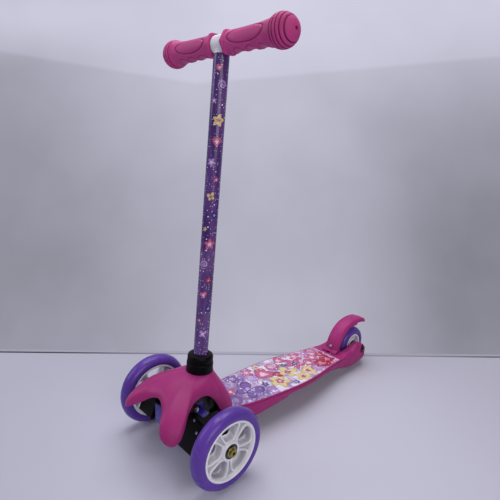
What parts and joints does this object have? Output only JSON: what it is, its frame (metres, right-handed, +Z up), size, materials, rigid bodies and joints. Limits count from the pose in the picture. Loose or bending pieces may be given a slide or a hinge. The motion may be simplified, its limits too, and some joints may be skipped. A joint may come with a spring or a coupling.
{
  "type": "kick scooter",
  "caption": "Child's three-wheeled kick scooter with lean-to-steer front axle, raked T-bar stem, moulded deck and a foot brake over the rear wheel.",
  "frame": {"origin": "on the ground under the middle of the bounding box", "axes": "+Z up, -Y the way the scooter travels, +X to its left side"},
  "size_m": [0.2628, 0.5578, 0.6208],
  "materials": {
    "pink_plastic": "satin moulded",
    "pink_rubber": "soft matte",
    "purple_tyre": "smooth",
    "white_plastic": "gloss moulded",
    "black_plastic": "satin moulded",
    "blue_plastic": "gloss moulded",
    "purple_tube": "gloss film",
    "printed_sheet": "printed film",
    "steel": "zinc plated",
    "dark_steel": "black oxide",
    "brass": "yellow zinc",
    "black_rubber": "matte"
  },
  "bodies": {
    "frame": {"deck": "pink_plastic", "deck_sheet": "printed_sheet", "steering_beam": "blue_plastic", "front_shell": "pink_plastic", "beam_bolt_1": "dark_steel", "beam_bolt_2": "dark_steel", "beam_bolt_3": "dark_steel", "beam_bolt_4": "dark_steel", "collar_socket": "black_plastic", "collar_cap": "black_plastic", "stem_tube": "purple_tube", "bar_tee": "white_plastic", "handlebar_tube": "steel", "grip_left": "pink_rubber", "grip_right": "pink_rubber", "kingpin_left": "dark_steel", "kingpin_right": "dark_steel", "kingpin_nut_left": "steel", "kingpin_nut_right": "steel", "centring_bush_left": "black_rubber", "centring_bush_right": "black_rubber", "rear_axle_bolt": "steel", "rear_axle_nut": "steel", "rear_spacer_left": "steel", "rear_spacer_right": "steel", "brake_pin": "steel"},
    "steering_left": {"knuckle_left": "black_plastic", "tie_rod_pin_left": "steel", "front_left_axle_bolt": "brass", "front_left_axle_nut": "steel"},
    "steering_right": {"knuckle_right": "black_plastic", "tie_rod_pin_right": "steel", "front_right_axle_bolt": "brass", "front_right_axle_nut": "steel"},
    "tie_rod": {"tie_rod": "dark_steel"},
    "front_left_wheel": {"front_left_tyre": "purple_tyre", "front_left_rim": "white_plastic", "front_left_hub_spacer": "steel", "front_left_bearing_outer": "dark_steel", "front_left_bearing_inner": "dark_steel"},
    "front_right_wheel": {"front_right_tyre": "purple_tyre", "front_right_rim": "white_plastic", "front_right_hub_spacer": "steel", "front_right_bearing_outer": "dark_steel", "front_right_bearing_inner": "dark_steel"},
    "rear_wheel": {"rear_tyre": "purple_tyre", "rear_rim": "white_plastic", "rear_hub_spacer": "steel", "rear_bearing_outer": "dark_steel", "rear_bearing_inner": "dark_steel"},
    "brake": {"brake_fender": "pink_plastic", "brake_spring": "steel", "brake_screw": "steel"},
    "stem_lock": {"lock_button": "steel", "lock_spring": "steel"}
  },
  "joints": [
    {"name": "steer_left", "type": "hinge", "parent": "frame", "child": "steering_left", "pos_m": [0.036, -0.2041, 0.07], "axis": [0, -0.4226, 0.9063], "range_deg": [-12, 12], "stiffness_Nm_per_rad": 6},
    {"name": "steer_right", "type": "hinge", "parent": "frame", "child": "steering_right", "pos_m": [-0.036, -0.2041, 0.07], "axis": [0, -0.4226, 0.9063], "range_deg": [-12, 12], "stiffness_Nm_per_rad": 6},
    {"name": "tie_rod_swing", "type": "hinge", "parent": "steering_left", "child": "tie_rod", "pos_m": [0.036, -0.1896, 0.07676], "axis": [0, -0.4226, 0.9063], "range_deg": [-12, 12]},
    {"name": "front_left_spin", "type": "hinge", "parent": "steering_left", "child": "front_left_wheel", "pos_m": [0.0983, -0.2041, 0.06], "axis": [1, 0, 0], "continuous": true},
    {"name": "front_right_spin", "type": "hinge", "parent": "steering_right", "child": "front_right_wheel", "pos_m": [-0.0983, -0.2041, 0.06], "axis": [1, 0, 0], "continuous": true},
    {"name": "rear_spin", "type": "hinge", "parent": "frame", "child": "rear_wheel", "pos_m": [0, 0.2389, 0.04], "axis": [1, 0, 0], "continuous": true},
    {"name": "brake_press", "type": "hinge", "parent": "frame", "child": "brake", "pos_m": [0, 0.1719, 0.0355], "axis": [-1, 0, 0], "range_deg": [0, 3.5], "stiffness_Nm_per_rad": 8, "springref_deg": -5.73},
    {"name": "stem_lock_press", "type": "slide", "parent": "frame", "child": "stem_lock", "axis": [0, -0.9968, 0.0797], "range_m": [0, 0.0035], "stiffness_N_per_m": 500, "springref_m": -0.003}
  ],
  "couplings": [
    {"joint": "steer_right", "follows": "steer_left", "ratio": 1},
    {"joint": "tie_rod_swing", "follows": "steer_left", "ratio": -1}
  ]
}
